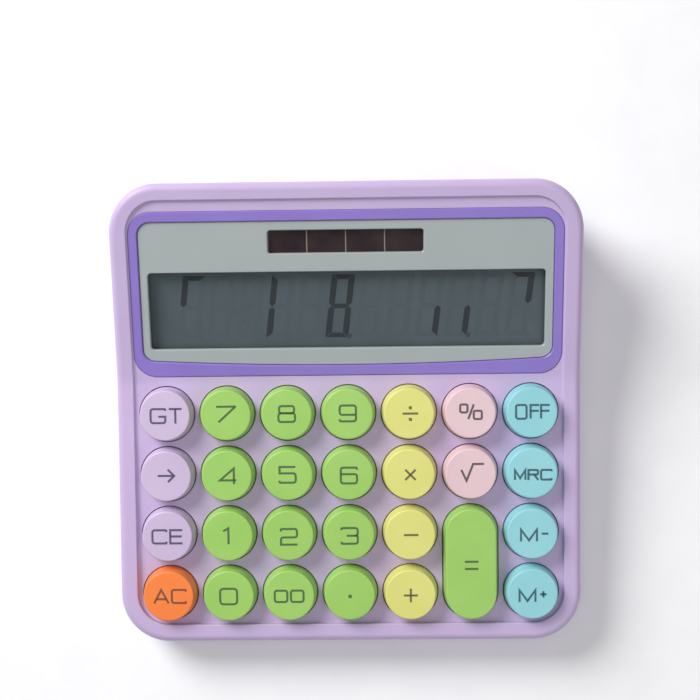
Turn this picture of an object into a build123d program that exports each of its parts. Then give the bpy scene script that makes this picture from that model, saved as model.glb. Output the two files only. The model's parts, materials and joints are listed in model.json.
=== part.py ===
from build123d import *
from math import sin, cos, tan, radians
import os

os.makedirs("parts", exist_ok=True)

# Whole calculator. The origin is under the middle, on the face of the feet.
body_width = 153.0
body_depth = 150.0
body_corner = 16.0
shell = 2.2
foot_height = 1.5
floor_top = foot_height + shell
parting_z = 9.0
rim_round = 2.2

# Keyboard deck: a plane rising to the back, sunk below the rims of the case.
deck_angle = 6.0
rim_angle = 5.2
deck_z = 21.2
deck_thick = 1.8
crease_y = 11.6
crease_round = 12.0
rim_width = 5.7
rim_over_display = 0.9

# Display face: a steeper plane that starts at the crease.
display_angle = 16.0
display_wall = 2.0
pocket_depth = 2.0

# Pieces of the display, measured up the display plane from the crease.
surround_half_width = 70.3
surround_front = 1.7
surround_back = 56.5
surround_corner = 7.5
surround_proud = 0.2
panel_half_width = 67.2
panel_front = 7.2
panel_bow = 2.0
panel_back = 53.0
panel_corner = 4.0
panel_sunk = 0.35
window_half_width = 64.6
window_front = 10.8
window_back = 36.4
lcd_hole_half_width = 66.0
lcd_hole_front = 8.9
lcd_hole_back = 39.5
solar_half_width = 25.2
solar_front = 42.4
solar_back = 50.0
solar_seat = 1.2
solar_wire_x = (16.0, 20.0)
solar_wire_y = 47.0
holder_half_width = 73.8
holder_screws = [(-72.0, 17.0), (72.0, 17.0), (-72.0, 36.0), (72.0, 36.0)]

# Keys, 20 mm apart both ways.
pitch = 20.0
first_row = 1.0
key_radius = 9.0
key_top_radius = 8.25
key_height = 5.5
key_edge = 0.5
key_skirt = 3.2
key_roof = 1.5
key_wall = 1.2
stem_radius = 2.1
stem_length = 4.6
key_gap = 0.35
key_shoulder = 0.4
key_taper = 8.37
lug_reach = 11.0
lug_width = 3.0
lug_length = 2.7
lug_middle = lug_reach - lug_length / 2
lug_top = 1.95

# Rubber mat and circuit board, hung below the deck.
mat_top = 7.0
board_top = 7.8
board_thick = 1.6
dome_radius = 4.9
board_half_width = 70.0
board_front = -71.4
board_back = 14.0
mat_half_width = 69.0
mat_front = -70.0
mat_back = 7.6

# Battery bay, across the thick rear of the case.
bay_left = -58.6
bay_right = 2.6
bay_front = 49.0
bay_wall = 1.5
bay_roof = 19.2
battery_y = 61.0
battery_z = 11.55
battery_radius = 7.1
battery_length = 50.5
nub_length = 1.2
door_front = 51.0
door_ledge = 2.3
contact_thick = 0.35
contact_left_x = bay_left + 0.25
contact_right_x = bay_right - 0.25

# Seam between the two halves of the case, and the gap between parts that slide together.
fit_gap = 0.1
seam_chamfer = 0.25
lip_inset = 1.2
lip_height = 1.4
rim_inner_round = 0.4
recess_round = 0.6
bottom_round = 1.2

# Posts, screws and feet.
board_post_radius = 2.25
board_screw_radius = 0.8
case_screw_radius = 1.1
screw_head = 0.9
screw_seat_radius = 2.7
front_post_radius = 2.5
front_post_x = 1.5 * pitch
front_post_y = -68.6
front_joint_z = 4.5
front_seat_z = 2.6
rear_post_radius = 3.2
rear_post_x = 66.0
rear_post_y = 62.0
rear_joint_z = 10.0
rear_seat_z = 6.9
pillar_radius = 2.0
pillars = [(60.0, -50.0), (-60.0, -50.0), (0.0, -20.0), (0.0, -60.0)]
foot_radius = 4.0
foot_sunk = 0.8
feet = {
    "front_left_foot": (-66.0, -58.0),
    "front_right_foot": (66.0, -58.0),
    "rear_left_foot": (-68.0, 50.0),
    "rear_right_foot": (68.0, 50.0),
}


def deck_plane(height):
    """Plane parallel to the deck, at a height above it, with local y up the slope."""
    tilt = radians(deck_angle)
    deck = Plane(origin=(0, 0, deck_z), x_dir=(1, 0, 0), z_dir=(0, -sin(tilt), cos(tilt)))
    return deck.offset(height)


def display_plane(height):
    """Plane parallel to the display face, with local y measured up from the crease."""
    tilt = radians(display_angle)
    face = Plane(
        origin=(0, crease_y, crease_z), x_dir=(1, 0, 0), z_dir=(0, -sin(tilt), cos(tilt))
    )
    return face.offset(height)


def deck_line(y, height):
    return deck_z + tan(radians(deck_angle)) * y + height / cos(radians(deck_angle))


def display_line(y, height):
    rise = tan(radians(display_angle)) * (y - crease_y)
    return crease_z + rise + height / cos(radians(display_angle))


crease_z = deck_line(crease_y, 0)


def on_deck(x, along, height):
    """Point given by its place on the sloping deck."""
    return deck_plane(height).from_local_coords(Vector(x, along, 0))


def on_display(x, along, height):
    return display_plane(height).from_local_coords(Vector(x, along, 0))


columns = [pitch * (i - 3) for i in range(7)]
rows = [first_row - pitch * i for i in range(4)]
tall_x = columns[5]
tall_y = (rows[2] + rows[3]) / 2

round_places = [
    (x, y) for x in columns for y in rows if not (x == tall_x and y < rows[1] - 1)
]
dome_places = round_places + [(tall_x, rows[2]), (tall_x, rows[3])]

# Screw posts of the board sit between four keys.
board_posts = [
    (columns[0] + pitch / 2, rows[0] - pitch / 2),
    (columns[0] + pitch / 2, rows[2] - pitch / 2),
    (columns[2] + pitch / 2, rows[1] - pitch / 2),
    (columns[3] + pitch / 2, rows[0] - pitch / 2),
    (columns[3] + pitch / 2, rows[2] - pitch / 2),
    (columns[5] + pitch / 2, rows[0] - pitch / 2),
    (columns[5] + pitch / 2, rows[1] - pitch / 2),
]
# where the upright front posts pass the tilted board
notch_y = (front_post_y - board_top * sin(radians(deck_angle))) / cos(radians(deck_angle))
front_notches = [(-front_post_x, notch_y), (front_post_x, notch_y)]


def finish(piece, name):
    piece.part.label = name
    export_step(piece.part, "parts/" + name + ".step")


# ---------------------------------------------------------------- case

outer_half_depth = body_depth / 2
outer_half_width = body_width / 2
inner_half_depth = outer_half_depth - shell
inner_half_width = outer_half_width - shell
inner_corner = body_corner - shell


def rim_line(y):
    return crease_z + rim_over_display + tan(radians(rim_angle)) * (y - crease_y)


with BuildPart() as cavity:
    with BuildSketch(Plane.YZ):
        with BuildLine():
            Polyline(
                (-inner_half_depth, 0),
                (-inner_half_depth, deck_line(-inner_half_depth, -deck_thick)),
                (crease_y + 0.4, deck_line(crease_y + 0.4, -deck_thick)),
                (crease_y + 0.4, display_line(crease_y + 0.4, -pocket_depth - display_wall)),
                (
                    inner_half_depth,
                    display_line(inner_half_depth, -pocket_depth - display_wall),
                ),
                (inner_half_depth, 0),
                close=True,
            )
        make_face()
    extrude(amount=outer_half_width, both=True)
    with BuildSketch(Plane.XY):
        RectangleRounded(2 * inner_half_width, 2 * inner_half_depth, inner_corner)
    extrude(amount=60, mode=Mode.INTERSECT)

def panel_outline(grow):
    """Closed line of the grey panel, its front edge bowed, made larger by grow."""
    with BuildSketch(mode=Mode.PRIVATE) as outline:
        with BuildLine():
            left = -panel_half_width - grow
            right = panel_half_width + grow
            low = panel_front - grow
            ThreePointArc((left, low), (0, low - panel_bow), (right, low))
            Polyline((right, low), (right, panel_back + grow), (left, panel_back + grow), (left, low))
        make_face()
        fillet(outline.vertices(), panel_corner + grow)
    return outline.sketch


def surround_outline(grow):
    """Outline of the purple frame, made larger by grow."""
    with BuildSketch(mode=Mode.PRIVATE) as outline:
        with Locations((0, (surround_front + surround_back) / 2)):
            RectangleRounded(
                2 * (surround_half_width + grow),
                surround_back - surround_front + 2 * grow,
                surround_corner + grow,
            )
    return outline.sketch


solar_y = (solar_front + solar_back) / 2
recess_half_width = outer_half_width - rim_width
recess_front = -outer_half_depth + rim_width
recess_back = outer_half_depth - rim_width


def inside_rim(edge):
    """True for the edges where the rims drop to the sunk ground."""
    box = edge.bounding_box()
    across = box.size.X > 100 and recess_front + 4 < box.center().Y < recess_back - 4
    return max(abs(box.min.X), abs(box.max.X)) < recess_half_width + 0.1 and not across


with BuildPart() as recess:
    with BuildSketch(Plane.YZ) as ground:
        with BuildLine():
            Polyline(
                (recess_front, deck_line(recess_front, 0)),
                (crease_y, crease_z),
                (recess_back, display_line(recess_back, 0)),
                (recess_back, 60),
                (recess_front, 60),
                close=True,
            )
        make_face()
        bend = ground.vertices().sort_by_distance((crease_y, crease_z))[0]
        fillet(bend, crease_round)
    extrude(amount=recess_half_width, both=True)
    with BuildSketch(Plane.XY):
        RectangleRounded(2 * recess_half_width, recess_back - recess_front, body_corner - rim_width)
    extrude(amount=70, mode=Mode.INTERSECT)
    low_faces = recess.faces().filter_by(lambda f: f.normal_at().Z < -0.5)
    low_edges = low_faces.edges().filter_by(
        lambda e: abs(e.tangent_at(0.5).X) < 0.99 or abs(e.center().Y) > recess_back - 1
    )
    fillet(low_edges, recess_round)


with BuildPart() as upper_case:
    with BuildSketch(Plane.YZ) as side:
        with BuildLine():
            Polyline(
                (-outer_half_depth, parting_z),
                (-outer_half_depth, rim_line(-outer_half_depth)),
                (crease_y, rim_line(crease_y)),
                (outer_half_depth, display_line(outer_half_depth, rim_over_display)),
                (outer_half_depth, parting_z),
                close=True,
            )
        make_face()
        bend = side.vertices().sort_by_distance((crease_y, rim_line(crease_y)))[0]
        fillet(bend, crease_round * 2)
    extrude(amount=outer_half_width, both=True)
    with BuildSketch(Plane.XY):
        RectangleRounded(body_width, body_depth, body_corner)
    extrude(amount=60, mode=Mode.INTERSECT)
    top_faces = upper_case.faces().filter_by(lambda f: f.normal_at().Z > 0.5)
    outline_edges = top_faces.edges().filter_by(
        lambda e: abs(e.tangent_at(0.5).X) < 0.99 or abs(e.center().Y) > outer_half_depth - 1
    )
    fillet(outline_edges, rim_round)

    add(recess, mode=Mode.SUBTRACT)
    rim_faces = upper_case.faces().filter_by(lambda f: f.normal_at().Z > 0.5)
    inner_edges = rim_faces.edges().filter_by(inside_rim)
    fillet(inner_edges, rim_inner_round)

    # shallow seat of the purple frame, which the grey panel shares
    with BuildSketch(display_plane(-pocket_depth)):
        add(surround_outline(fit_gap))
    extrude(amount=12, mode=Mode.SUBTRACT)
    add(cavity, mode=Mode.SUBTRACT)

    # openings for the display and the solar cell
    with BuildSketch(display_plane(0)):
        with Locations((0, (lcd_hole_front + lcd_hole_back) / 2)):
            RectangleRounded(2 * lcd_hole_half_width, lcd_hole_back - lcd_hole_front, 1.0)
    extrude(amount=-6, mode=Mode.SUBTRACT)
    with BuildSketch(display_plane(-pocket_depth)):
        with Locations((0, solar_y)):
            Rectangle(2 * solar_half_width + 2.8, solar_back - solar_front + 2.4)
    extrude(amount=-solar_seat, mode=Mode.SUBTRACT)
    with BuildSketch(display_plane(0)):
        with Locations(*[(x, solar_wire_y) for x in solar_wire_x]):
            Circle(0.9)
    extrude(amount=-6, mode=Mode.SUBTRACT)

    # holes that the keys rise through
    with BuildSketch(deck_plane(1)):
        with Locations(*round_places):
            Circle(key_radius + key_gap)
        with Locations((tall_x, tall_y)):
            SlotOverall(pitch + 2 * (key_radius + key_gap), 2 * (key_radius + key_gap), rotation=90)
    extrude(amount=-1 - deck_thick - 0.5, mode=Mode.SUBTRACT)

    # posts for the board screws and for the case screws
    with BuildSketch(deck_plane(-board_top)):
        with Locations(*board_posts):
            Circle(board_post_radius)
    extrude(amount=board_top - deck_thick + 0.3)
    with BuildSketch(deck_plane(-board_top)):
        with Locations(*board_posts):
            Circle(board_screw_radius)
    extrude(amount=5.2, mode=Mode.SUBTRACT)
    for x in (-front_post_x, front_post_x):
        with BuildSketch(Plane.XY.offset(front_joint_z)):
            with Locations((x, front_post_y)):
                Circle(front_post_radius)
        extrude(amount=deck_line(front_post_y, -deck_thick / 2) - front_joint_z)
        with BuildSketch(Plane.XY.offset(front_joint_z)):
            with Locations((x, front_post_y)):
                Circle(case_screw_radius)
        extrude(amount=6.6, mode=Mode.SUBTRACT)
    for x in (-rear_post_x, rear_post_x):
        with BuildSketch(Plane.XY.offset(rear_joint_z)):
            with Locations((x, rear_post_y)):
                Circle(rear_post_radius)
        extrude(amount=display_line(rear_post_y, -pocket_depth - 1) - rear_joint_z)
        with BuildSketch(Plane.XY.offset(rear_joint_z)):
            with Locations((x, rear_post_y)):
                Circle(case_screw_radius)
        extrude(amount=10.0, mode=Mode.SUBTRACT)

    # pilot holes for the display holder, in the thick side rims
    with BuildSketch(display_plane(-pocket_depth - display_wall)):
        with Locations(*holder_screws):
            Circle(board_screw_radius)
    extrude(amount=3.4, mode=Mode.SUBTRACT)

    # step inside the wall that takes the lip of the lower case
    with BuildSketch(Plane.XY.offset(parting_z)):
        RectangleRounded(body_width - 2 * lip_inset, body_depth - 2 * lip_inset, body_corner - lip_inset)
        RectangleRounded(
            2 * inner_half_width - 1, 2 * inner_half_depth - 1, inner_corner - 0.5, mode=Mode.SUBTRACT
        )
    extrude(amount=lip_height + 0.2, mode=Mode.SUBTRACT)
finish(upper_case, "upper_case")

with BuildPart() as lower_case:
    with BuildSketch(Plane.XY.offset(foot_height)):
        RectangleRounded(body_width, body_depth, body_corner)
    extrude(amount=parting_z - foot_height)
    fillet(lower_case.faces().sort_by(Axis.Z)[0].edges(), bottom_round)
    chamfer(lower_case.faces().sort_by(Axis.Z)[-1].edges(), seam_chamfer)
    with BuildSketch(Plane.XY.offset(floor_top)):
        RectangleRounded(2 * inner_half_width, 2 * inner_half_depth, inner_corner)
    extrude(amount=20, mode=Mode.SUBTRACT)

    # lip that locates the upper case
    with BuildSketch(Plane.XY.offset(parting_z - 1)):
        lip = lip_inset + fit_gap
        RectangleRounded(body_width - 2 * lip, body_depth - 2 * lip, body_corner - lip)
        RectangleRounded(2 * inner_half_width, 2 * inner_half_depth, inner_corner, mode=Mode.SUBTRACT)
    extrude(amount=1 + lip_height)

    # walls and roof of the battery bay
    bay_depth = inner_half_depth - 0.2 - (bay_front - bay_wall)
    bay_middle = bay_front - bay_wall + bay_depth / 2
    bay_centre = (bay_left + bay_right) / 2
    bay_width = bay_right - bay_left
    with BuildSketch(Plane.XY.offset(floor_top - 0.5)):
        with Locations((bay_centre, bay_middle)):
            Rectangle(bay_width + 2 * bay_wall, bay_depth)
        with Locations((bay_centre, bay_middle + bay_wall)):
            Rectangle(bay_width, bay_depth, mode=Mode.SUBTRACT)
    extrude(amount=bay_roof + bay_wall - floor_top + 0.5)
    with BuildSketch(Plane.XY.offset(bay_roof)):
        with Locations((bay_centre, bay_middle)):
            Rectangle(bay_width + 2 * bay_wall, bay_depth)
    extrude(amount=bay_wall)

    # slots in the front wall of the bay, for the tabs of the contacts
    for x, low, high in ((contact_left_x, 6.6, 16.4), (contact_right_x, 8.2, 14.8)):
        with BuildSketch(Plane.XY.offset(low)):
            with Locations((x, bay_front - bay_wall / 2)):
                Rectangle(0.8, bay_wall + 1)
        extrude(amount=high - low, mode=Mode.SUBTRACT)

    # opening of the battery door: a narrow part through the floor, then the full width
    with BuildSketch(Plane.XY.offset(foot_height - 1)):
        with Locations((bay_centre, (door_front + outer_half_depth + 1) / 2)):
            Rectangle(bay_width - 2 * door_ledge, outer_half_depth + 1 - door_front)
    extrude(amount=floor_top - foot_height + 2, mode=Mode.SUBTRACT)
    with BuildSketch(Plane.XY.offset(foot_height - 1)):
        with Locations((bay_centre, inner_half_depth - 0.2 + 3)):
            Rectangle(bay_width, 6)
    extrude(amount=20, mode=Mode.SUBTRACT)

    # low posts and pillars
    with BuildSketch(Plane.XY.offset(floor_top - 0.5)):
        with Locations((-front_post_x, front_post_y), (front_post_x, front_post_y)):
            Circle(3.2)
    extrude(amount=front_joint_z - 0.1 - floor_top + 0.5)
    with BuildSketch(Plane.XY.offset(floor_top - 0.5)):
        with Locations((-rear_post_x, rear_post_y), (rear_post_x, rear_post_y)):
            Circle(3.8)
    extrude(amount=rear_joint_z - 0.1 - floor_top + 0.5)
    for x, y in pillars:
        top = deck_line(y - pillar_radius, -board_top - board_thick) - 0.1
        with BuildSketch(Plane.XY.offset(floor_top - 0.5)):
            with Locations((x, y)):
                Circle(pillar_radius)
        extrude(amount=top - floor_top + 0.5)

    # screw holes from underneath, with sunk seats for the heads
    post_places = [
        (-front_post_x, front_post_y),
        (front_post_x, front_post_y),
        (-rear_post_x, rear_post_y),
        (rear_post_x, rear_post_y),
    ]
    with BuildSketch(Plane.XY):
        with Locations(*post_places):
            Circle(case_screw_radius + 0.3)
    extrude(amount=20, mode=Mode.SUBTRACT)
    with BuildSketch(Plane.XY):
        with Locations(*post_places[:2]):
            Circle(screw_seat_radius)
    extrude(amount=front_seat_z, mode=Mode.SUBTRACT)
    with BuildSketch(Plane.XY):
        with Locations(*post_places[2:]):
            Circle(screw_seat_radius)
    extrude(amount=rear_seat_z, mode=Mode.SUBTRACT)

    # round seats for the feet
    with BuildSketch(Plane.XY):
        with Locations(*feet.values()):
            Circle(foot_radius + fit_gap)
    extrude(amount=foot_height + foot_sunk, mode=Mode.SUBTRACT)
finish(lower_case, "lower_case")

for name, (x, y) in feet.items():
    with BuildPart() as foot:
        with BuildSketch(Plane.XY):
            with Locations((x, y)):
                Circle(foot_radius)
        extrude(amount=foot_height + foot_sunk)
        fillet(foot.faces().sort_by(Axis.Z)[0].edges(), 0.4)
    finish(foot, name)


# ---------------------------------------------------------------- display

with BuildPart() as display_surround:
    with BuildSketch(display_plane(-pocket_depth)):
        add(surround_outline(0))
        add(panel_outline(fit_gap), mode=Mode.SUBTRACT)
    extrude(amount=pocket_depth + surround_proud)
    top = display_surround.faces().sort_by(Axis(display_plane(0).origin, display_plane(0).z_dir))[-1]
    chamfer(top.edges(), 0.3)
finish(display_surround, "display_surround")

with BuildPart() as display_bezel:
    with BuildSketch(display_plane(-pocket_depth)):
        add(panel_outline(0))
        with Locations((0, (window_front + window_back) / 2)):
            RectangleRounded(2 * window_half_width, window_back - window_front, 1.3, mode=Mode.SUBTRACT)
        with Locations((0, solar_y)):
            RectangleRounded(2 * solar_half_width, solar_back - solar_front, 1.0, mode=Mode.SUBTRACT)
    extrude(amount=pocket_depth - panel_sunk)
    top = display_bezel.faces().sort_by(Axis(display_plane(0).origin, display_plane(0).z_dir))[-1]
    chamfer(top.edges(), 0.25)
finish(display_bezel, "display_bezel")


def display_sheet(name, half_width, front, back, low, high, corner=0.0, inner=None):
    """Flat piece in the display plane; inner is the half width, front and back of a window in it."""
    with BuildPart() as sheet:
        with BuildSketch(display_plane(low)):
            with Locations((0, (front + back) / 2)):
                if corner:
                    RectangleRounded(2 * half_width, back - front, corner)
                else:
                    Rectangle(2 * half_width, back - front)
            if inner:
                with Locations((0, (inner[1] + inner[2]) / 2)):
                    Rectangle(2 * inner[0], inner[2] - inner[1], mode=Mode.SUBTRACT)
        extrude(amount=high - low)
    finish(sheet, name)


lens_low = -pocket_depth - 1.0
gasket_low = lens_low - 0.5
polariser_low = gasket_low - 0.2
front_glass_low = polariser_low - 0.7
rear_glass_low = front_glass_low - 0.7
reflector_low = rear_glass_low - 0.2
holder_low = reflector_low - 1.2
lcd_back = lcd_hole_back - 0.3
display_sheet("display_window", 65.8, 9.1, 39.3, lens_low, -pocket_depth - 0.05, 1.0)
display_sheet("display_gasket", 65.8, 9.1, 39.3, gasket_low, lens_low, 1.0, (65.0, 10.2, 37.0))
display_sheet("lcd_front_polariser", 65.2, 10.0, 38.8, polariser_low, gasket_low)
display_sheet("lcd_front_glass", 65.6, 9.3, lcd_back, front_glass_low, polariser_low)
display_sheet("lcd_rear_glass", 65.6, 11.0, lcd_back, rear_glass_low, front_glass_low)
display_sheet("lcd_reflector", 65.2, 11.4, 38.8, reflector_low, rear_glass_low)

with BuildPart() as lcd_holder:
    with BuildSketch(display_plane(holder_low)):
        with Locations((0, 27.7)):
            Rectangle(2 * holder_half_width, 31.0)
        with Locations((0, 25.5)):
            Rectangle(116, 15, mode=Mode.SUBTRACT)
    extrude(amount=reflector_low - holder_low)
    with BuildSketch(display_plane(reflector_low)):
        with Locations((0, 27.7)):
            Rectangle(2 * holder_half_width, 31.0)
        with Locations((0, 26.0)):
            Rectangle(132.8, 28.0, mode=Mode.SUBTRACT)
    extrude(amount=-pocket_depth - display_wall - reflector_low)
    with BuildSketch(display_plane(holder_low)):
        with Locations(*holder_screws):
            Circle(board_screw_radius + 0.2)
    extrude(amount=4, mode=Mode.SUBTRACT)
finish(lcd_holder, "lcd_holder")

with BuildPart() as lcd_holder_screws:
    with BuildSketch(display_plane(holder_low)):
        with Locations(*holder_screws):
            Circle(1.6)
    extrude(amount=-1.0)
    with BuildSketch(display_plane(holder_low)):
        with Locations(*holder_screws):
            Circle(board_screw_radius)
    extrude(amount=5.4)
finish(lcd_holder_screws, "lcd_holder_screws")

with BuildPart() as lcd_ribbon:
    bond_start = on_deck(0, 8.6, -board_top + 0.15)
    bond_end = on_deck(0, 13.2, -board_top + 0.15)
    ledge_start = on_display(0, 9.4, front_glass_low - 0.12)
    ledge_end = on_display(0, 10.8, front_glass_low - 0.12)
    with BuildSketch(Plane.YZ):
        with BuildLine():
            bends = (bond_start, bond_end, ledge_start, ledge_end)
            FilletPolyline(*[(p.Y, p.Z) for p in bends], radius=0.8)
        trace(line_width=0.2)
    extrude(amount=52, both=True)
finish(lcd_ribbon, "lcd_ribbon")

with BuildPart() as solar_cell:
    with BuildSketch(display_plane(-pocket_depth - solar_seat)):
        with Locations((0, solar_y)):
            Rectangle(2 * solar_half_width + 2.4, solar_back - solar_front + 2.0)
    extrude(amount=solar_seat - 0.05)
finish(solar_cell, "solar_cell")


def wire(name, points, radius, bend=3.0):
    """Insulated wire along straight runs joined by tangent arcs."""
    with BuildPart() as lead:
        with BuildLine() as path:
            FilletPolyline(*points, radius=bend)
        with BuildSketch(Plane(origin=path.line @ 0, z_dir=path.line % 0)):
            Circle(radius)
        sweep()
    finish(lead, name)


board_under = -board_top - board_thick
joint_y = 12.4
joint_z = deck_line(joint_y, board_under) - 0.15
for name, x in zip(("solar_wire_red", "solar_wire_black"), solar_wire_x):
    start = on_display(x, solar_wire_y, -pocket_depth - solar_seat - 0.03)
    turn = on_display(x, solar_wire_y, -9.0)
    wire(name, [start, turn, (x, 40, 14), (x, joint_y, 7.5), (x, joint_y, joint_z)], 0.5)


# ---------------------------------------------------------------- keyboard

def key_section(centre):
    """Upright plane through the middle of a key, local y along the key's travel."""
    up = deck_plane(0).z_dir
    slope = deck_plane(0).y_dir
    return Plane(origin=centre, x_dir=(1, 0, 0), z_dir=-slope), Axis(centre, up)


def round_key(name, x, along):
    section, axis = key_section(on_deck(x, along, 0))
    inner = key_radius - key_wall
    with BuildPart() as key:
        with BuildSketch(section) as half:
            with BuildLine():
                Polyline(
                    (0, key_height),
                    (key_top_radius, key_height),
                    (key_radius, key_shoulder),
                    (key_radius, -key_skirt),
                    (inner, -key_skirt),
                    (inner - 0.4, key_height - key_roof),
                    (stem_radius, key_height - key_roof),
                    (stem_radius, -stem_length),
                    (0, -stem_length),
                    close=True,
                )
            make_face()
            rim = half.vertices().sort_by_distance((key_top_radius, key_height))[0]
            fillet(rim, key_edge)
        revolve(axis=axis)
        with BuildSketch(deck_plane(-key_skirt)):
            with Locations((x, along)):
                with PolarLocations(lug_middle, 4, start_angle=45):
                    Rectangle(lug_length, lug_width)
        extrude(amount=key_skirt - lug_top)
    finish(key, name)


key_names = [
    ["key_grand_total", "key_arrow", "key_clear_entry", "key_all_clear"],
    ["key_seven", "key_four", "key_one", "key_zero"],
    ["key_eight", "key_five", "key_two", "key_double_zero"],
    ["key_nine", "key_six", "key_three", "key_point"],
    ["key_divide", "key_multiply", "key_minus", "key_plus"],
    ["key_percent", "key_square_root"],
    ["key_off", "key_memory_recall", "key_memory_minus", "key_memory_plus"],
]
for column, names in zip(columns, key_names):
    for row, name in zip(rows, names):
        round_key(name, column, row)

with BuildPart() as key_equals:
    tall = pitch + 2 * key_radius
    with BuildSketch(deck_plane(key_shoulder)):
        with Locations((tall_x, tall_y)):
            SlotOverall(tall, 2 * key_radius, rotation=90)
    extrude(amount=key_height - key_shoulder, taper=key_taper)
    top = key_equals.faces().sort_by(Axis(deck_plane(0).origin, deck_plane(0).z_dir))[-1]
    fillet(top.edges(), key_edge)
    with BuildSketch(deck_plane(key_shoulder)):
        with Locations((tall_x, tall_y)):
            SlotOverall(tall, 2 * key_radius, rotation=90)
    extrude(amount=-key_shoulder - key_skirt)
    with BuildSketch(deck_plane(-key_skirt)):
        with Locations((tall_x, tall_y)):
            SlotOverall(tall - 2 * key_wall - 0.6, 2 * (key_radius - key_wall) - 0.6, rotation=90)
    extrude(amount=key_skirt + key_height - key_roof, mode=Mode.SUBTRACT)
    with BuildSketch(deck_plane(-stem_length)):
        with Locations((tall_x, rows[2]), (tall_x, rows[3])):
            Circle(stem_radius)
    extrude(amount=stem_length + key_height - key_roof + 0.3)
    with BuildSketch(deck_plane(-key_skirt)):
        for row, angle in ((rows[2], 45), (rows[3], 225)):
            with Locations((tall_x, row)):
                with PolarLocations(lug_middle, 2, start_angle=angle, angular_range=180):
                    Rectangle(lug_length, lug_width)
    extrude(amount=key_skirt - lug_top)
finish(key_equals, "key_equals")

# one dome of the rubber mat, with its contact pill inside
with BuildPart() as dome:
    with BuildSketch(Plane.XZ):
        with BuildLine():
            Polyline(
                (0, -stem_length - 0.05),
                (2.6, -stem_length - 0.05),
                (2.6, -5.3),
                (dome_radius, -mat_top),
                (dome_radius, -board_top),
                (dome_radius - 0.7, -board_top),
                (dome_radius - 0.7, -board_top + 0.3),
                (2.2, -5.9),
                (1.9, -5.9),
                (1.9, -6.4),
                (0, -6.4),
                close=True,
            )
        make_face()
    revolve(axis=Axis.Z)

with BuildPart() as keypad_mat:
    with BuildSketch(deck_plane(-board_top)):
        with Locations((0, (mat_front + mat_back) / 2)):
            RectangleRounded(2 * mat_half_width, mat_back - mat_front, 8.0)
        with Locations(*dome_places):
            Circle(dome_radius - 0.5, mode=Mode.SUBTRACT)
        with Locations(*board_posts):
            Circle(board_post_radius + 0.3, mode=Mode.SUBTRACT)
        with Locations(*front_notches):
            Circle(front_post_radius + 1.0, mode=Mode.SUBTRACT)
    extrude(amount=board_top - mat_top)
    with Locations(*[deck_plane(0).location * Location((x, y, 0)) for x, y in dome_places]):
        add(dome)
finish(keypad_mat, "keypad_mat")

with BuildPart() as circuit_board:
    with BuildSketch(deck_plane(board_under)):
        with Locations((0, (board_front + board_back) / 2)):
            RectangleRounded(2 * board_half_width, board_back - board_front, 10.0)
        with Locations(*board_posts):
            Circle(board_screw_radius + 0.2, mode=Mode.SUBTRACT)
        with Locations(*front_notches):
            Circle(front_post_radius + 1.0, mode=Mode.SUBTRACT)
    extrude(amount=board_thick)
finish(circuit_board, "circuit_board")

with BuildPart() as board_screws:
    with BuildSketch(deck_plane(board_under)):
        with Locations(*board_posts):
            Circle(2.1)
    extrude(amount=-1.2)
    with BuildSketch(deck_plane(board_under)):
        with Locations(*board_posts):
            Circle(board_screw_radius)
    extrude(amount=6.4)
finish(board_screws, "board_screws")

with BuildPart() as chip_blob:
    with BuildSketch(deck_plane(board_under)):
        with Locations((-20, -4)):
            Circle(7.0)
    extrude(amount=-1.6)
    low = chip_blob.faces().sort_by(Axis(deck_plane(0).origin, deck_plane(0).z_dir))[0]
    fillet(low.edges(), 1.4)
finish(chip_blob, "chip_blob")

with BuildPart() as capacitor:
    with BuildSketch(Plane(origin=on_deck(24, 2, board_under - 2.55), x_dir=(0, 1, 0), z_dir=(1, 0, 0))):
        Circle(2.5)
    extrude(amount=8.0)
    chamfer(capacitor.edges().filter_by(GeomType.CIRCLE), 0.4)
finish(capacitor, "capacitor")

with BuildPart() as case_screws:
    seats = (front_seat_z, front_seat_z, rear_seat_z, rear_seat_z)
    tips = (10.4, 10.4, 19.0, 19.0)
    for (x, y), seat, tip in zip(post_places, seats, tips):
        with BuildSketch(Plane.XY.offset(seat - screw_head)):
            with Locations((x, y)):
                Circle(2.3)
        extrude(amount=screw_head)
        with BuildSketch(Plane.XY.offset(seat)):
            with Locations((x, y)):
                Circle(case_screw_radius)
        extrude(amount=tip - seat)
finish(case_screws, "case_screws")


# ---------------------------------------------------------------- battery

with BuildPart() as battery_door:
    with BuildSketch(Plane.XY.offset(foot_height)):
        with Locations((bay_centre, (door_front + fit_gap + outer_half_depth) / 2)):
            Rectangle(bay_width - 2 * door_ledge - 2 * fit_gap, outer_half_depth - door_front - fit_gap)
    extrude(amount=floor_top - foot_height + 0.1)
    with BuildSketch(Plane.XY.offset(floor_top + 0.1)):
        with Locations((bay_centre, (bay_front + 0.2 + inner_half_depth) / 2)):
            Rectangle(bay_width - 2 * fit_gap, inner_half_depth - bay_front - 0.2)
        # open towards the front, so the door slides out past the cell
        opening_back = battery_y + battery_radius + 1.2
        with Locations((bay_centre, (bay_front + opening_back) / 2)):
            Rectangle(battery_length + 2.4, opening_back - bay_front, mode=Mode.SUBTRACT)
    extrude(amount=1.3)
    with BuildSketch(Plane.XY.offset(foot_height)):
        with Locations((bay_centre, (inner_half_depth + outer_half_depth) / 2)):
            Rectangle(bay_width - 2 * fit_gap, shell)
    extrude(amount=parting_z - 0.1 - foot_height)
    rear_corner = (bay_centre, outer_half_depth, foot_height)
    fillet(battery_door.edges().filter_by(Axis.X).sort_by_distance(rear_corner)[0], bottom_round)
    with BuildSketch(Plane.XY.offset(foot_height)):
        with Locations(*[(bay_centre, 66.0 + 2.2 * i) for i in range(3)]):
            SlotOverall(24, 1.2)
    extrude(amount=0.5, mode=Mode.SUBTRACT)
finish(battery_door, "battery_door")

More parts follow.
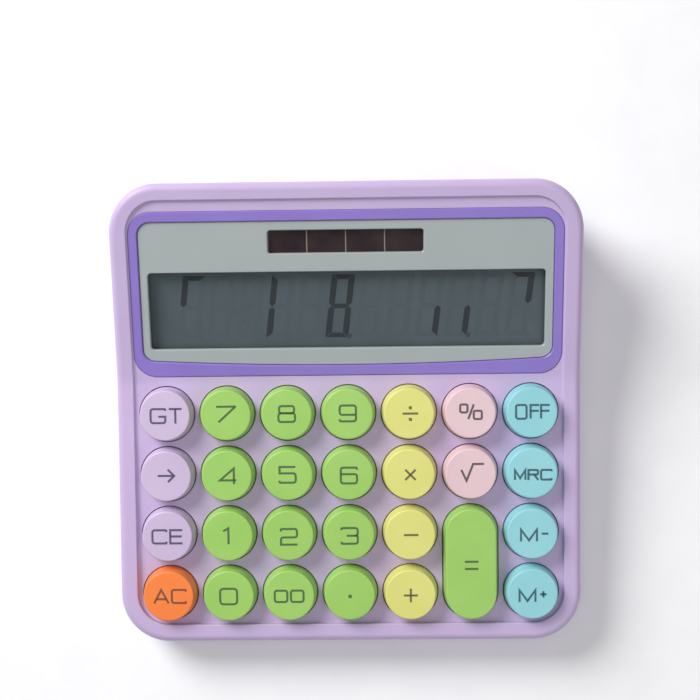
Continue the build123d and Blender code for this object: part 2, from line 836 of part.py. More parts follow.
battery_plus_x = bay_centre + battery_length / 2
battery_minus_x = bay_centre - battery_length / 2
with BuildPart() as battery:
    minus_end = (battery_minus_x, battery_y, battery_z)
    with BuildSketch(Plane(origin=minus_end, x_dir=(0, 1, 0), z_dir=(1, 0, 0))):
        Circle(battery_radius)
    extrude(amount=battery_length - nub_length)
    fillet(battery.edges().filter_by(GeomType.CIRCLE), 0.5)
    nub_start = (battery_plus_x - nub_length, battery_y, battery_z)
    with BuildSketch(Plane(origin=nub_start, x_dir=(0, 1, 0), z_dir=(1, 0, 0))):
        Circle(2.7)
    extrude(amount=nub_length)
finish(battery, "battery")

with BuildPart() as battery_spring:
    spring_length = battery_minus_x - 0.1 - contact_left_x
    with BuildSketch(Plane.XY.offset(7.0)):
        with Locations((contact_left_x, (bay_front - 4.5 + 67) / 2)):
            Rectangle(contact_thick, 67 - bay_front + 4.5)
    extrude(amount=9.0)
    with BuildLine() as coil:
        Helix(
            pitch=1.5,
            height=spring_length - 0.9,
            radius=3.4,
            center=(contact_left_x + 0.45, battery_y, battery_z),
            direction=(1, 0, 0),
        )
    with BuildSketch(Plane(origin=coil.line @ 0, z_dir=coil.line % 0)):
        Circle(0.4)
    sweep()
finish(battery_spring, "battery_spring")

with BuildPart() as battery_plus_contact:
    with BuildSketch(Plane.XY.offset(8.6)):
        with BuildLine():
            FilletPolyline(
                (contact_right_x, bay_front - 4.5),
                (contact_right_x, 54.5),
                (battery_plus_x + 0.25, 59.6),
                (battery_plus_x + 0.25, 62.4),
                (contact_right_x - 0.5, 67.5),
                radius=1.0,
            )
        trace(line_width=contact_thick)
    extrude(amount=5.8)
finish(battery_plus_contact, "battery_plus_contact")

wire_radius = 0.65
black_x = contact_left_x + contact_thick / 2 + wire_radius + 0.02
red_x = contact_right_x - contact_thick / 2 - wire_radius - 0.02
for name, x in (("battery_wire_red", red_x), ("battery_wire_black", black_x)):
    wire(
        name,
        [(x, 46.6, 11.5), (x, 38, 11.5), (x, 28, 7.2), (x, joint_y, 7.2), (x, joint_y, joint_z)],
        wire_radius,
    )
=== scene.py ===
import json
import math

import bmesh
import bpy
from mathutils import Matrix, Vector


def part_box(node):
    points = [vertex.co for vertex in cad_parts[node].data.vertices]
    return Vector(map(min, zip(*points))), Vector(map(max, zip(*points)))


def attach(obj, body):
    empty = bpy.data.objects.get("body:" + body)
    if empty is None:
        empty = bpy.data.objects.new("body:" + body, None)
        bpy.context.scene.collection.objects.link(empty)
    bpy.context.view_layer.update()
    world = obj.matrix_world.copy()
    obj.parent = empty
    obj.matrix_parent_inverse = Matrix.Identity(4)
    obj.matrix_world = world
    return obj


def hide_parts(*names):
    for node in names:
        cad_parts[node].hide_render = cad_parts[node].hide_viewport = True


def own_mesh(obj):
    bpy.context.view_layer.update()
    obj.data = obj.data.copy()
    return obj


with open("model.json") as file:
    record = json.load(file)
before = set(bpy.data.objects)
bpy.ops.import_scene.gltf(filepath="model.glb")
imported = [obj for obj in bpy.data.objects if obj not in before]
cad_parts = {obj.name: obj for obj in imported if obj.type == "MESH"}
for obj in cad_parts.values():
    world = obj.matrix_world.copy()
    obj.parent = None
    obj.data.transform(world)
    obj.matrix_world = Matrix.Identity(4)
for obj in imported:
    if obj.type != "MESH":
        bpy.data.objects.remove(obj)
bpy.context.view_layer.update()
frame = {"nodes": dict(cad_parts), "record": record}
nodes = frame["nodes"]
subparts = frame["record"]["subparts"]
bodies = frame["record"]["behaviour"]["bodies"]
slotOf = {part["node"]: part["material_slot"] for part in subparts}
bodyOf = {node: body for body, members in bodies.items() for node in members}
mm = 0.001
sameLevel = 0.01 * mm  # points this close in height count as one level


# Materials. Sizes of patterns and patches are real sizes in millimetres.

def rgb(code):
    # linear colour of an sRGB hex value
    parts = [int(code[i:i + 2], 16) / 255 for i in (0, 2, 4)]
    linear = [c / 12.92 if c <= 0.04045 else ((c + 0.055) / 1.055) ** 2.4 for c in parts]
    return (*linear, 1.0)


def addNode(tree, kind, settings=None, links=None):
    # settings are the node's own choices and the values of its sockets, links are what feeds its sockets
    node = tree.nodes.new("ShaderNode" + kind)
    for name, value in (settings or {}).items():
        if isinstance(name, str) and name not in node.inputs:
            setattr(node, name, value)
        else:
            node.inputs[name].default_value = value
    for name, source in (links or {}).items():
        tree.links.new(source, node.inputs[name])
    return node


def newMaterial(name):
    # an empty material, and the coordinates of its piece in metres
    made = bpy.data.materials.new(name)
    made.use_nodes = True
    made.node_tree.nodes.clear()
    place = addNode(made.node_tree, "TexCoord").outputs["Object"]
    return made, made.node_tree, place


def surface(tree, settings, links):
    # the shader at the end of a material
    shader = addNode(tree, "BsdfPrincipled", settings, links)
    addNode(tree, "OutputMaterial", links={"Surface": shader.outputs["BSDF"]})


def blotches(tree, place, size, low=0.0, high=1.0):
    # a value that wanders between low and high, in soft blotches of this size
    # nearly all of the noise lies between 0.3 and 0.7
    settings = {"Scale": 1 / (size * mm), "Detail": 3.0, "Roughness": 0.55}
    cloud = addNode(tree, "TexNoise", settings, {"Vector": place})
    spread = {"From Min": 0.3, "From Max": 0.7, "To Min": low, "To Max": high}
    return addNode(tree, "MapRange", spread, {"Value": cloud.outputs["Fac"]}).outputs["Result"]


# In a Mix node for colours, sockets 6 and 7 are the two colours, and output 2 is the result.

patch = {"tone": 18, "gloss": 6, "metal": 0.4, "acrylic": 9, "film": 7, "board": 5}


def moulded(name, light, dark, rough, grain=0.35, depth=0.012, ior=1.54):
    # a solid-coloured moulding: colour and gloss vary a little, and a fine grain stands up from the surface
    made, tree, place = newMaterial(name)
    tones = {"data_type": "RGBA", 6: rgb(light), 7: rgb(dark)}
    colour = addNode(tree, "Mix", tones, {"Factor": blotches(tree, place, patch["tone"])})
    grit = addNode(tree, "TexNoise", {"Scale": 1 / (grain * mm)}, {"Vector": place})
    relief = addNode(tree, "Bump", {"Distance": depth * mm}, {"Height": grit.outputs["Fac"]})
    surface(tree, {"IOR": ior}, {
        "Base Color": colour.outputs[2],
        "Roughness": blotches(tree, place, patch["gloss"], *rough),
        "Normal": relief.outputs["Normal"],
    })
    return made


def plated(name, colour, rough, depth=0.002):
    # bright metal with fine marks from rolling or turning
    made, tree, place = newMaterial(name)
    marks = blotches(tree, place, patch["metal"])
    relief = addNode(tree, "Bump", {"Distance": depth * mm}, {"Height": marks})
    surface(tree, {"Metallic": 1.0, "Base Color": rgb(colour)}, {
        "Roughness": blotches(tree, place, patch["metal"], *rough),
        "Normal": relief.outputs["Normal"],
    })
    return made


lens = {"tint": "15191C", "cover": 0.12, "gloss": (0.05, 0.09)}


def clearAcrylic():
    # polished acrylic sheet: light goes through it, and a faint gloss stays on its face
    made, tree, place = newMaterial("clear_acrylic_polished")
    settings = {"Base Color": rgb(lens["tint"]), "IOR": 1.49, "Alpha": lens["cover"]}
    surface(tree, settings, {"Roughness": blotches(tree, place, patch["acrylic"], *lens["gloss"])})
    return made


solar = {
    "strip": 12.6,  # from one scribed line to the next
    "line": 0.36,
    "film": ("2B2026", "382A2A"),
    "lineTone": "8C8478",
    "gloss": (0.08, 0.14),
}


def filmCell():
    # thin silicon film behind glass: nearly black with a brown cast, cut into strips by pale scribed lines
    made, tree, place = newMaterial("thin_film_solar_glass")
    light, dark = solar["film"]
    tones = {"data_type": "RGBA", 6: rgb(light), 7: rgb(dark)}
    film = addNode(tree, "Mix", tones, {"Factor": blotches(tree, place, patch["film"])})
    across = addNode(tree, "SeparateXYZ", links={"Vector": place}).outputs["X"]
    strip = addNode(tree, "Math", {"operation": "PINGPONG", 1: solar["strip"] / 2 * mm}, {0: across})
    scribed = {"operation": "LESS_THAN", 1: solar["line"] / 2 * mm}
    line = addNode(tree, "Math", scribed, {0: strip.outputs["Value"]})
    lined = {"data_type": "RGBA", 7: rgb(solar["lineTone"])}
    colour = addNode(tree, "Mix", lined, {"Factor": line.outputs["Value"], 6: film.outputs[2]})
    surface(tree, {"IOR": 1.52}, {
        "Base Color": colour.outputs[2],
        "Roughness": blotches(tree, place, patch["film"], *solar["gloss"]),
    })
    return made


board = {
    "mask": "1F5A30",
    "trace": "3C8446",
    "traceSpacing": 4.0,
    "traceHeight": 0.03,
    "traceEdge": (0.03, 0.06),  # where a trace starts and stops fading, as a share of the spacing
    "gloss": (0.3, 0.42),
}


def solderMask():
    # lacquered glass-fibre board: glossy green, paler and a little raised over the copper traces
    made, tree, place = newMaterial("green_solder_mask_board")
    spacing = {"feature": "DISTANCE_TO_EDGE", "Scale": 1 / (board["traceSpacing"] * mm)}
    cells = addNode(tree, "TexVoronoi", spacing, {"Vector": place})
    near, far = board["traceEdge"]
    edge = {"From Min": near, "From Max": far, "To Min": 1.0, "To Max": 0.0}
    trace = addNode(tree, "MapRange", edge, {"Value": cells.outputs["Distance"]}).outputs["Result"]
    tones = {"data_type": "RGBA", 6: rgb(board["mask"]), 7: rgb(board["trace"])}
    colour = addNode(tree, "Mix", tones, {"Factor": trace})
    relief = addNode(tree, "Bump", {"Distance": board["traceHeight"] * mm}, {"Height": trace})
    surface(tree, {"IOR": 1.5}, {
        "Base Color": colour.outputs[2],
        "Roughness": blotches(tree, place, patch["board"], *board["gloss"]),
        "Normal": relief.outputs["Normal"],
    })
    return made


cell = {
    "jacket": ("26292E", "2F3339"),
    "band": "B87A48",
    "bandStart": 0.68,  # share of the length from the minus end
    "bandEdge": 0.2,
    "gloss": (0.28, 0.4),
}


def cellJacket():
    # lacquered steel sleeve of a dry cell: dark, with a copper-coloured band at the plus end
    made, tree, place = newMaterial("lacquered_steel_cell_jacket")
    low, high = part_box("battery")
    start = low.x + cell["bandStart"] * (high.x - low.x)
    along = addNode(tree, "SeparateXYZ", links={"Vector": place}).outputs["X"]
    border = {"From Min": start, "From Max": start + cell["bandEdge"] * mm}
    band = addNode(tree, "MapRange", border, {"Value": along})
    light, dark = cell["jacket"]
    tones = {"data_type": "RGBA", 6: rgb(light), 7: rgb(dark)}
    sleeve = addNode(tree, "Mix", tones, {"Factor": blotches(tree, place, patch["gloss"])})
    banded = {"data_type": "RGBA", 7: rgb(cell["band"])}
    colour = addNode(tree, "Mix", banded, {"Factor": band.outputs["Result"], 6: sleeve.outputs[2]})
    surface(tree, {"Metallic": 0.6}, {
        "Base Color": colour.outputs[2],
        "Roughness": blotches(tree, place, patch["gloss"], *cell["gloss"]),
    })
    return made


keyTones = {
    "key_green": ("A2D068", "9ACA5E"),
    "key_yellow": ("E2E080", "DDDA76"),
    "key_pink": ("E7CACE", "E3C2C7"),
    "key_teal": ("97D7DE", "8DCFD7"),
    "key_lilac": ("D0BDDB", "C9B3D4"),
    "key_orange": ("FF8A40", "F98238"),
}

materialOf = {
    # ABS from a spark-eroded mould: satin, with an even grain drawn coarser than real so that it shows
    "case_lilac": moulded("lilac_abs_spark_grained", "C6B2D8", "C3AED5", (0.42, 0.5)),
    # ABS from a smoother mould: a softer, rounder highlight and hardly any grain
    "frame_purple": moulded("purple_abs_moulded", "8E79CB", "8A74C6", (0.34, 0.42), depth=0.003),
    # ABS with a coat of grey lacquer: even and flat, between satin and gloss
    "panel_grey": moulded("grey_lacquered_abs", "A8B0B0", "A5ADAD", (0.38, 0.46), depth=0.008),
    "clear_lens": clearAcrylic(),
    # laminated polariser: a blue-grey film, smooth and a little cloudy
    "polariser_film": moulded("laminated_polariser_film", "66747A", "5F6D73", (0.32, 0.4), depth=0.0005),
    # ground edge of display glass: grey-green and shiny
    "lcd_glass": moulded(
        "soda_lime_display_glass", "9FACA6", "96A39D", (0.06, 0.12), depth=0.001, ior=1.52
    ),
    # foil behind the glass: plain grey with a silky sheen
    "reflector_film": moulded("grey_reflector_foil", "8E968F", "868E87", (0.25, 0.35)),
    # styrene moulding that nobody sees: off-white, slightly dull
    "holder_white": moulded("white_styrene_moulded", "E8E8E2", "DEDED8", (0.4, 0.5), ior=1.59),
    # cut polyurethane foam: black, dull and open-pored
    "foam_black": moulded("black_cut_foam", "26262A", "1C1C20", (0.85, 0.95), grain=0.5, depth=0.15),
    # polyimide film: clear amber, smooth
    "ribbon_film": moulded("amber_polyimide_film", "C49A55", "B88C46", (0.2, 0.3), depth=0.002, ior=1.7),
    "solar_glass": filmCell(),
    # extruded PVC sleeves: smooth, a soft gloss along the wire
    "wire_red": moulded("red_extruded_pvc", "B8241E", "A81C18", (0.35, 0.45)),
    "wire_black": moulded("black_extruded_pvc", "1E1E20", "161618", (0.35, 0.45)),
    # silicone rubber moulding: pale grey and matt
    "mat_rubber": moulded("grey_silicone_moulded", "C6CAC8", "BCC2C0", (0.6, 0.7), depth=0.01, ior=1.41),
    "board_laminate": solderMask(),
    # cast epoxy: black, wet-looking drop
    "epoxy_black": moulded("black_cast_epoxy", "18181A", "121214", (0.12, 0.22), depth=0.01, ior=1.55),
    # shrunk PVC sleeve: navy and glossy
    "capacitor_sleeve": moulded("navy_shrink_sleeve", "202C54", "1A254A", (0.25, 0.35)),
    # zinc on turned steel: cool grey, fine tool marks
    "screw_steel": plated("zinc_plated_steel", "B9BCC0", (0.25, 0.4)),
    # nickel on spring steel: brighter and smoother than zinc
    "contact_steel": plated("nickel_plated_spring_steel", "CDCFD2", (0.15, 0.28)),
    "battery_jacket": cellJacket(),
    # moulded rubber: charcoal, matt, slightly rough
    "foot_rubber": moulded(
        "charcoal_rubber_moulded", "3C3C41", "333338", (0.7, 0.85), grain=0.6, depth=0.03
    ),
}
for slotName, tones in keyTones.items():
    # ABS coloured right through, polished less than the frame: satin tops with a soft highlight on the edge
    materialOf[slotName] = moulded(slotName[4:] + "_abs_satin_key", *tones, (0.4, 0.48), depth=0.006)
for part in subparts:
    mesh = nodes[part["node"]].data
    mesh.materials.clear()
    mesh.materials.append(materialOf[part["material_slot"]])
print("materials on", len(subparts), "nodes")


# Thin pieces drawn in millimetres on the flat tops of nodes

class Face:
    # the flat top of a node: its middle and its directions
    def __init__(self, node):
        mesh = nodes[node].data
        upward = [p for p in mesh.polygons if p.normal.z > 0.5]
        self.normal = max(upward, key=lambda p: p.area).normal.normalized()
        self.right = Vector((1, 0, 0))
        self.up = self.normal.cross(self.right).normalized()
        height = max(v.co.dot(self.normal) for v in mesh.vertices)
        top = [v.co for v in mesh.vertices if v.co.dot(self.normal) > height - sameLevel]
        across = [point.dot(self.right) for point in top]
        along = [point.dot(self.up) for point in top]
        self.middle = self.right * (min(across) + max(across)) / 2
        self.middle += self.up * (min(along) + max(along)) / 2 + self.normal * height

    def matrix(self, x=0.0, y=0.0):
        # takes a drawing in millimetres to this face
        turn = Matrix((self.right, self.up, self.normal)).transposed().to_4x4()
        spot = self.middle + (self.right * x + self.up * y) * mm
        return Matrix.Translation(spot) @ turn @ Matrix.Scale(mm, 4)


def newPiece(name, bm, material, body):
    # finishes a mesh as a piece that rides on a body
    mesh = bpy.data.meshes.new(name)
    bm.to_mesh(mesh)
    bm.free()
    mesh.materials.append(material)
    piece = bpy.data.objects.new(name, mesh)
    bpy.context.scene.collection.objects.link(piece)
    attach(piece, body)
    return piece


def thicken(bm, place, thick):
    # flat faces become a thin solid, standing on the face
    bmesh.ops.recalc_face_normals(bm, faces=bm.faces)
    bmesh.ops.reverse_faces(bm, faces=[face for face in bm.faces if face.normal.z < 0])
    made = bmesh.ops.extrude_face_region(bm, geom=bm.faces[:])
    lifted = [v for v in made["geom"] if isinstance(v, bmesh.types.BMVert)]
    bmesh.ops.translate(bm, verts=lifted, vec=(0, 0, thick))
    bmesh.ops.recalc_face_normals(bm, faces=bm.faces)
    bm.transform(place)


ink = {"gloss": (0.5, 0.62), "grain": 0.15, "depth": 0.003, "ior": 1.5}


def printInk(name, colour):
    # pad-printed ink: one even colour, dull, and faintly rough to a close look
    made, tree, place = newMaterial(name)
    grit = addNode(tree, "TexNoise", {"Scale": 1 / (ink["grain"] * mm)}, {"Vector": place})
    relief = addNode(tree, "Bump", {"Distance": ink["depth"] * mm}, {"Height": grit.outputs["Fac"]})
    surface(tree, {"Base Color": rgb(colour), "IOR": ink["ior"]}, {
        "Roughness": blotches(tree, place, patch["gloss"], *ink["gloss"]),
        "Normal": relief.outputs["Normal"],
    })
    return made


# Key legends. A stroke is (points, closed, width); a point is (x, y) or (x, y, corner radius).

legend = {
    "stroke": 0.69,
    "dot": 1.0,
    "corner": 0.9,
    "cornerSteps": 5,
    "shortest": 0.35,  # keeps the mitre of a sharp corner short
    "thick": 0.05,
    "tones": {  # the print is thin, so the colour of the key comes through it
        "key_green": "4F6B40",
        "key_yellow": "6C6B49",
        "key_pink": "62565E",
        "key_teal": "3E6470",
        "key_lilac": "5C5470",
        "key_orange": "874E39",
    },
}


def roundCorners(points, closed):
    # the same line with its corners rounded
    line = []
    count = len(points)
    for i, point in enumerate(points):
        here = Vector(point[:2])
        if len(point) < 3 or not (closed or 0 < i < count - 1):
            line.append(here)
            continue
        before = Vector(points[i - 1][:2]) - here
        after = Vector(points[(i + 1) % count][:2]) - here
        # under half of each run, so that the corners at its two ends stay apart
        reach = min(point[2], before.length * 0.49, after.length * 0.49)
        start = here + before.normalized() * reach
        end = here + after.normalized() * reach
        for k in range(legend["cornerSteps"] + 1):
            t = k / legend["cornerSteps"]
            line.append(start * (1 - t) ** 2 + here * 2 * t * (1 - t) + end * t * t)
    return line


def addStroke(bm, points, closed, width):
    # flat ribbon along a line, mitred at the corners
    line = roundCorners(points, closed)
    count = len(line)
    pairs = []
    for i, here in enumerate(line):
        back = here - line[i - 1] if closed or i else None
        ahead = line[(i + 1) % count] - here if closed or i < count - 1 else back
        back = (back or ahead).normalized()
        ahead = ahead.normalized()
        side = (back + ahead).orthogonal().normalized()
        side *= width / 2 / max(legend["shortest"], side.dot(back.orthogonal()))
        pairs.append([bm.verts.new((*(here + side), 0)), bm.verts.new((*(here - side), 0))])
    steps = list(zip(pairs, pairs[1:])) + ([(pairs[-1], pairs[0])] if closed else [])
    for (a, b), (c, d) in steps:
        bm.faces.new((a, b, d, c))


def lines(*routes):
    return [(list(route), False, legend["stroke"]) for route in routes]


def loop(left, low, right, high, radius=legend["corner"]):
    corners = [(left, low, radius), (right, low, radius), (right, high, radius), (left, high, radius)]
    return [(corners, True, legend["stroke"])]


def dot(x, y, size=legend["dot"]):
    return [([(x - size / 2, y), (x + size / 2, y)], False, size)]


def moved(strokes, x, y=0.0):
    shifted = []
    for points, closed, width in strokes:
        shifted.append(([(px + x, py + y, *corner) for px, py, *corner in points], closed, width))
    return shifted


def hook(x, y, lip, radius=legend["corner"]):
    # a square C, with its two ends this far above and below its middle
    return lines([(x, lip), (x, y, radius), (-x, y, radius), (-x, -y, radius), (x, -y, radius), (x, -lip)])


r = legend["corner"]  # at each rounded corner below
six = [(2.65, 1.9), (2.65, 2.6, r), (-2.65, 2.6, r), (-2.65, -2.6, r)]
six += [(2.65, -2.6, r), (2.65, 0.45, r), (-2.65, 0.45)]
nine = [(-x, -y, *corner) for x, y, *corner in six]
five = [(2.6, 2.6), (-2.6, 2.6), (-2.6, 0.5), (2.65, 0.5, r), (2.65, -2.6, r)]
five += [(-2.65, -2.6, r), (-2.65, -1.9)]
two = [(-2.65, 1.8), (-2.65, 2.6, r), (2.65, 2.6, r), (2.65, -0.2, r), (-2.65, -0.2, r)]
two += [(-2.65, -2.6), (2.75, -2.6)]
threeTop = [(-2.65, 1.9), (-2.65, 2.6, r), (2.65, 2.6, r), (2.65, 0.05, r), (-0.9, 0.05)]
threeLow = [(1.6, 0.05), (2.65, 0.05, r), (2.65, -2.6, r), (-2.65, -2.6, r), (-2.65, -1.9)]
letterG = lines(
    [(2.4, 1.7), (2.4, 2.3, r), (-2.4, 2.3, r), (-2.4, -2.3, r), (2.4, -2.3, r), (2.4, -0.2), (0.1, -0.2)]
)
letterT = lines([(-2.0, 2.3), (2.2, 2.3)], [(0.1, 2.3), (0.1, -2.5)])
letterC = hook(2.3, 2.2, 1.6)
letterE = lines([(2.0, 2.2), (-2.0, 2.2), (-2.0, -2.2), (2.0, -2.2)], [(-2.0, 0.1), (1.8, 0.1)])
letterA = lines([(-2.4, -2.3), (0, 2.2), (2.4, -2.3)], [(-1.6, -0.9), (1.6, -0.9)])
letterF = lines([(-1.3, -2.2), (-1.3, 2.2), (1.5, 2.2)], [(-1.3, 0.3), (1.4, 0.3)])
letterM = lines([(-2.6, -2.0), (-2.6, 1.9), (0, -1.7), (2.6, 1.9), (2.6, -2.0)])
smallM = lines([(-1.7, -1.6), (-1.7, 1.6), (0, -1.1), (1.7, 1.6), (1.7, -1.6)])
smallR = lines([(-1.6, -1.7), (-1.6, 1.6), (1.5, 1.6, 0.5), (1.5, 0.1, 0.5), (-1.6, 0.1)])
smallR += lines([(0.2, 0.1), (1.6, -1.7)])
smallC = hook(1.7, 1.6, 1.1, 0.6)
smallPlus = lines([(-1.05, 0), (1.05, 0)], [(0, -1.05), (0, 1.05)])
percent = loop(-3.5, -0.3, -1.15, 2.3, 0.6) + loop(0.9, -2.5, 3.5, 0.2, 0.6)
percent += lines([(0.9, 2.3), (-0.9, -2.5)])

# each legend's place on its key, across and up from the middle, and its strokes
legends = {
    "key_grand_total": (0.4, -0.05, moved(letterG, -2.6) + moved(letterT, 3.0)),
    "key_arrow": (0, 0.2, lines([(-2.7, 0), (2.6, 0)], [(0.6, 2.1), (2.7, 0), (0.6, -2.1)])),
    "key_clear_entry": (0, -0.05, moved(letterC, -2.6) + moved(letterE, 3.0)),
    "key_all_clear": (0.5, 0, moved(letterA, -2.9) + moved(letterC, 2.9)),
    "key_seven": (0.15, 0.35, lines([(-3.2, 2.5), (3.1, 2.5, 0.3), (-2.5, -2.6)])),
    "key_eight": (0, 0.25, loop(-2.45, 0.25, 2.45, 2.6) + loop(-2.7, -2.6, 2.7, 0.25)),
    "key_nine": (0, 0.25, lines(nine)),
    "key_four": (0.75, 0.05, lines([(1.6, -2.8), (1.6, 2.4), (-3.0, -1.5), (2.4, -1.5)])),
    "key_five": (0, 0.2, lines(five)),
    "key_six": (0.1, -0.2, lines(six)),
    "key_one": (0.2, 0.15, lines([(-1.7, 1.5), (0, 2.5), (0, -2.8)])),
    "key_two": (0.15, -0.35, lines(two)),
    "key_three": (0.1, -0.2, lines(threeTop, threeLow)),
    "key_zero": (-0.1, -0.15, loop(-2.8, -2.6, 2.8, 2.6, 1.25)),
    "key_double_zero": (-0.1, -0.2, loop(-4.75, -1.9, -0.6, 1.9) + loop(0.6, -1.9, 4.75, 1.9)),
    "key_point": (0, -0.35, dot(0, 0, 1.1)),
    "key_divide": (0.4, 0, lines([(-2.55, 0), (2.55, 0)]) + dot(0, 1.9) + dot(0, -1.9)),
    "key_multiply": (0.25, -0.15, lines([(-1.7, 1.7), (1.7, -1.7)], [(-1.7, -1.7), (1.7, 1.7)])),
    "key_minus": (0.3, -0.1, lines([(-2.4, 0), (2.4, 0)])),
    "key_plus": (0, -0.2, lines([(-2.3, 0), (2.3, 0)], [(0, -2.3), (0, 2.3)])),
    "key_percent": (0.15, 0.5, percent),
    "key_square_root": (0.55, 0.55, lines([(-3.7, 0.8), (-2.0, -2.8), (0.2, 2.7), (3.7, 2.7)])),
    "key_equals": (0.05, -0.3, lines([(-2.2, 1.2), (2.2, 1.2)], [(-2.2, -1.2), (2.2, -1.2)])),
    "key_off": (0.2, 0.2, loop(-5.4, -2.25, -2.0, 2.25, 0.8) + moved(letterF, 0.6) + moved(letterF, 4.0)),
    "key_memory_recall": (0.25, -0.5, moved(smallM, -4.2) + moved(smallR, 0.1) + moved(smallC, 4.3)),
    "key_memory_minus": (0.45, -0.45, moved(letterM, -1.6) + lines([(2.6, 0.5), (4.7, 0.5)])),
    "key_memory_plus": (-0.1, -0.6, moved(letterM, -1.6) + moved(smallPlus, 3.6, 0.5)),
}
inks = {slotName: printInk("print_on_" + slotName[4:], tone) for slotName, tone in legend["tones"].items()}
for node, (across, up, strokes) in legends.items():
    bm = bmesh.new()
    for points, closed, width in strokes:
        addStroke(bm, points, closed, width)
    thicken(bm, Face(node).matrix(across, up), legend["thick"])
    newPiece("legend_" + node, bm, inks[slotOf[node]], bodyOf[node])
print("legends on", len(legends), "keys")


# Keypad mat: cut into a flat sheet and a separate piece for the dome under each key stem; on the real mat a
# dome flattens when its key goes down

mat = {
    "domeReach": 5.2,  # radius round a stem that holds its dome
    "cutAboveSheet": 0.02,
    "twoStemsOver": 8.0,  # feet that reach further than this belong to two stems
    "weld": 0.0005,
}
matNormal = Face("key_five").normal
matMesh = nodes["keypad_mat"].data
levelFaces = [p for p in matMesh.polygons if p.normal.dot(matNormal) > 0.999]
sheetTop = max(levelFaces, key=lambda p: p.area)
cutLevel = sheetTop.center.dot(matNormal) + mat["cutAboveSheet"] * mm


def stemFeet(node):
    # the middle of the foot of each stem of a key; the tall key has two
    points = [v.co for v in nodes[node].data.vertices]
    lowest = min(point.dot(matNormal) for point in points)
    foot = [point for point in points if point.dot(matNormal) < lowest + sameLevel]
    up = matNormal.cross(Vector((1, 0, 0)))
    along = [point.dot(up) for point in foot]
    groups = [foot]
    if max(along) - min(along) > mat["twoStemsOver"] * mm:
        middle = (min(along) + max(along)) / 2
        groups = [[p for p in foot if p.dot(up) > middle], [p for p in foot if p.dot(up) < middle]]
    return [sum(group, Vector()) / len(group) for group in groups]


def inDome(point, foot):
    across = point - foot
    return (across - matNormal * across.dot(matNormal)).length < mat["domeReach"] * mm


def matPiece(name, feet, upper):
    # the mat above or below the cut, with the wall of each dome closed by a ring
    bm = bmesh.new()
    bm.from_mesh(matMesh)
    bmesh.ops.remove_doubles(bm, verts=bm.verts, dist=mat["weld"] * mm)
    if upper:
        far = [v for v in bm.verts if not inDome(v.co, feet[0])]
        bmesh.ops.delete(bm, geom=far, context="VERTS")
    geom = bm.verts[:] + bm.edges[:] + bm.faces[:]
    drop = {"clear_inner": upper, "clear_outer": not upper}
    bmesh.ops.bisect_plane(bm, geom=geom, plane_co=matNormal * cutLevel, plane_no=matNormal, **drop)
    rim = [edge for edge in bm.edges if edge.is_boundary]
    for foot in feet:
        bmesh.ops.bridge_loops(bm, edges=[edge for edge in rim if inDome(edge.verts[0].co, foot)])
    bmesh.ops.recalc_face_normals(bm, faces=bm.faces)
    piece = newPiece(name, bm, materialOf["mat_rubber"], "calculator")
    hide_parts("keypad_mat")
    return piece


allFeet = []
for node in legends:
    for i, foot in enumerate(stemFeet(node)):
        dome = matPiece(f"mat_dome_{node[4:]}_{i + 1}", [foot], True)
        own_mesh(dome)
        allFeet.append(foot)
matPiece("mat_sheet", allFeet, False)
print("mat with", len(allFeet), "domes")


# Segments of the display, in millimetres on the front film

digits = {
    "count": 12,
    "pitch": 9.77,
    "middleX": 2.7,
    "middleY": -0.1,
    "width": 5.6,
    "height": 19.5,
    "upright": 2.0,  # breadth of the upright bars
    "level": 1.6,  # breadth of the level bars
    "gap": 0.06,
    "slant": 0.125,
    "commaRight": 1.2,  # from the last bar to the comma
    "comma": [(0, 0.4), (1.0, 0.4), (1.0, -0.4), (0.3, -1.5), (-0.3, -1.5)],
    # bars lit in each place: a is the top one, b to f follow clockwise, and g is the middle one
    "lit": {0: "af", 3: "fe", 5: "abcdefg", 8: "c", 9: "c", 11: "ab"},
    "commas": (5, 9),
    "litColour": "363E43",
    "commaColour": "4C565B",
    "unlitColour": "616E74",
    "litThick": 0.012,
    "unlitThick": 0.006,
}


def segmentOutline(segment):
    # corners of one bar of an upright digit; the upper right ones are turned over for the others
    x, y, gap = digits["width"] / 2, digits["height"] / 2, digits["gap"]
    half, thin = digits["upright"] / 2, digits["level"] / 2
    mitre = 1.4 * gap  # what the gap takes off a corner cut at 45 degrees
    if segment == "g":
        end = x - gap
        corners = [(-end, 0), (thin - end, thin), (end - thin, thin)]
        corners += [(end, 0), (end - thin, -thin), (thin - end, -thin)]
    elif segment in "ad":
        outer, inner = x + half - mitre, x - half - mitre
        corners = [(-outer, y + thin), (outer, y + thin), (inner, y - thin), (-inner, y - thin)]
    else:
        corners = [(x, gap), (x + half, gap + half), (x + half, y + thin - mitre)]
        corners += [(x - half, y - thin - mitre), (x - half, gap + half)]
    flipX = -1 if segment in "ef" else 1
    flipY = -1 if segment in "cde" else 1
    return [(px * flipX, py * flipY) for px, py in corners]


def commaOutline():
    left, foot = digits["width"] / 2 + digits["commaRight"], -digits["height"] / 2
    return [(left + x, foot + y) for x, y in digits["comma"]]


def displayPiece(name, chosen, thick, colour):
    bm = bmesh.new()
    for place, segment in chosen:
        left = (place - (digits["count"] - 1) / 2) * digits["pitch"] + digits["middleX"]
        outline = commaOutline() if segment == "," else segmentOutline(segment)
        corners = [(x + left + y * digits["slant"], y + digits["middleY"], 0) for x, y in outline]
        bm.faces.new([bm.verts.new(corner) for corner in corners])
    thicken(bm, Face("lcd_front_polariser").matrix(), thick)
    newPiece(name, bm, printInk(name + "_tint", colour), "calculator")


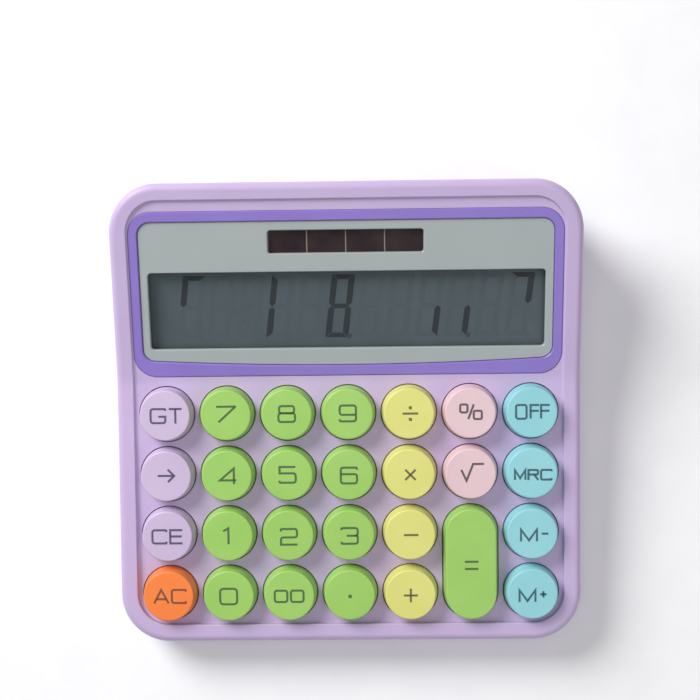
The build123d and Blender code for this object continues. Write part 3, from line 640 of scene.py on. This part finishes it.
allSegments = [(place, segment) for place in range(digits["count"]) for segment in "abcdefg,"]
lit = [(place, segment) for place, segments in digits["lit"].items() for segment in segments]
commas = [(place, ",") for place in digits["commas"]]
unlit = [pair for pair in allSegments if pair not in lit + commas]
displayPiece("lcd_faint_segments", unlit, digits["unlitThick"], digits["unlitColour"])
displayPiece("lcd_dark_segments", lit, digits["litThick"], digits["litColour"])
displayPiece("lcd_commas", commas, digits["litThick"], digits["commaColour"])
print("display with", len(lit), "segments lit")


# Floor, light and camera

stage = {
    "floorReach": 3.0,  # metres from the middle to each edge
    "floorTones": ("FAFAFB", "F6F6F8"),
    "worldColour": "F4F4F8",
    "worldStrength": 0.2,
}
lights = {  # place in metres, size in metres, power in watts
    "key_light": ((-0.68, 0.62, 0.7), 0.6, 13.6),
    "fill_light": ((0.62, -0.56, 0.78), 1.0, 2.8),
    "top_light": ((0.0, 0.0, 1.4), 1.0, 3.6),
}
view = {"place": (10.6, 5.0, 460), "turn": (2.15, 1.3, -0.57), "lens": 68.2}  # mm, degrees, mm

bm = bmesh.new()
bmesh.ops.create_grid(bm, x_segments=1, y_segments=1, size=stage["floorReach"])
floorMesh = bpy.data.meshes.new("floor")
bm.to_mesh(floorMesh)
bm.free()
# sized paper: white and matt, the least bit uneven
paper = moulded("matt_white_paper", *stage["floorTones"], (0.75, 0.85), depth=0.004, ior=1.45)
floorMesh.materials.append(paper)
floor = bpy.data.objects.new("floor", floorMesh)
bpy.context.scene.collection.objects.link(floor)

for name, (spot, size, power) in lights.items():
    data = bpy.data.lights.new(name, "AREA")
    data.shape = "DISK"
    data.size = size
    data.energy = power
    lamp = bpy.data.objects.new(name, data)
    lamp.location = spot
    lamp.rotation_euler = (-Vector(spot)).to_track_quat("-Z", "Y").to_euler()
    bpy.context.scene.collection.objects.link(lamp)

world = bpy.data.worlds.new("studio")
world.use_nodes = True
background = world.node_tree.nodes["Background"]
background.inputs["Color"].default_value = rgb(stage["worldColour"])
background.inputs["Strength"].default_value = stage["worldStrength"]
bpy.context.scene.world = world
bpy.context.scene.view_settings.view_transform = "Standard"

cameraData = bpy.data.cameras.new("camera")
cameraData.lens = view["lens"]
cameraData.clip_start = 0.01
cameraData.clip_end = 10
camera = bpy.data.objects.new("camera", cameraData)
camera.location = Vector(view["place"]) * mm
camera.rotation_euler = [math.radians(angle) for angle in view["turn"]]
bpy.context.scene.collection.objects.link(camera)
bpy.context.scene.camera = camera
print("floor, light and camera")
